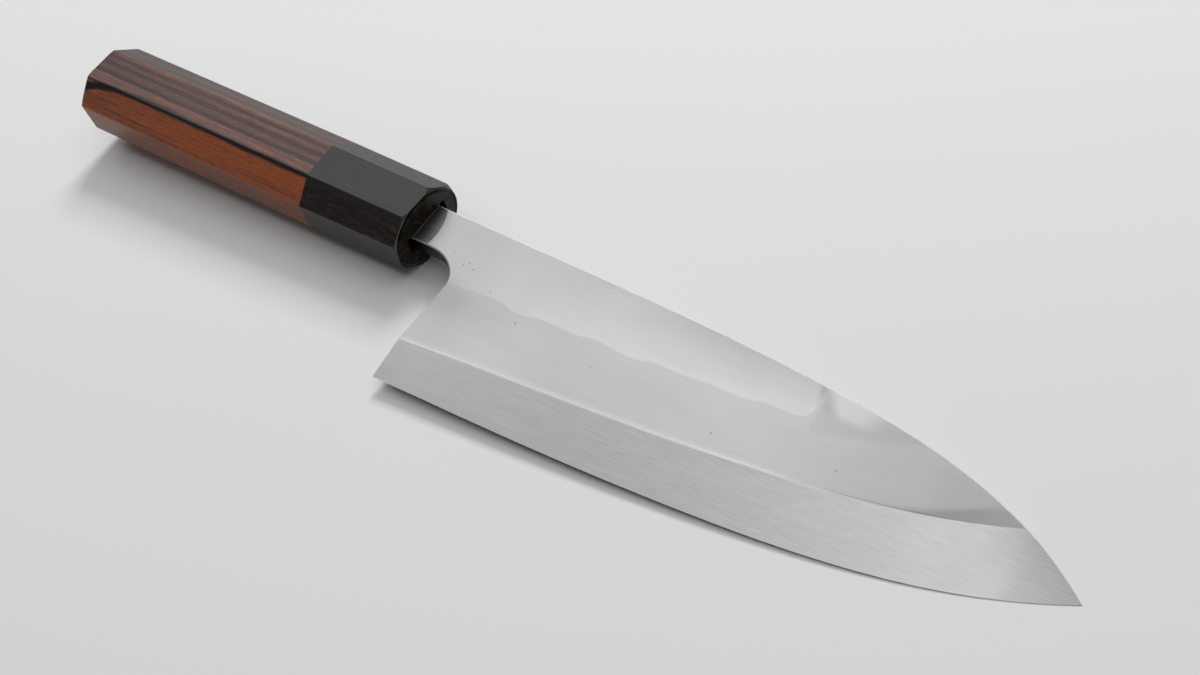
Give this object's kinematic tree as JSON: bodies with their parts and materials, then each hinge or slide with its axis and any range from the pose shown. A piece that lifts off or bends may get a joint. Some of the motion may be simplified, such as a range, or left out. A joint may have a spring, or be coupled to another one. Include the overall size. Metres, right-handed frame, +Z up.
{
  "type": "deba knife",
  "caption": "Heavy single-bevel kitchen knife for fish, with a curved edge, a square heel, an octagonal wooden handle and a long horn ferrule.",
  "frame": {"origin": "on the table, under the centre of the knife's box", "axes": "+X from the butt to the tip, +Y from the cutting edge to the spine, +Z up from the table, out of the bevelled face"},
  "size_m": [0.367, 0.0672, 0.0305],
  "materials": {
    "blade_steel": "satin grind with a misty temper line, dark forged skin on the neck",
    "ferrule_horn": "polished dark horn with brown streaks",
    "handle_wood": "smooth oiled hardwood with dark stripes",
    "dowel_wood": "plain turned wood",
    "bedding_resin": "black set resin"
  },
  "bodies": {
    "root": {"blade": "blade_steel", "ferrule": "ferrule_horn", "handle": "handle_wood", "core_dowel": "dowel_wood", "tang_bedding": "bedding_resin"}
  },
  "joints": []
}
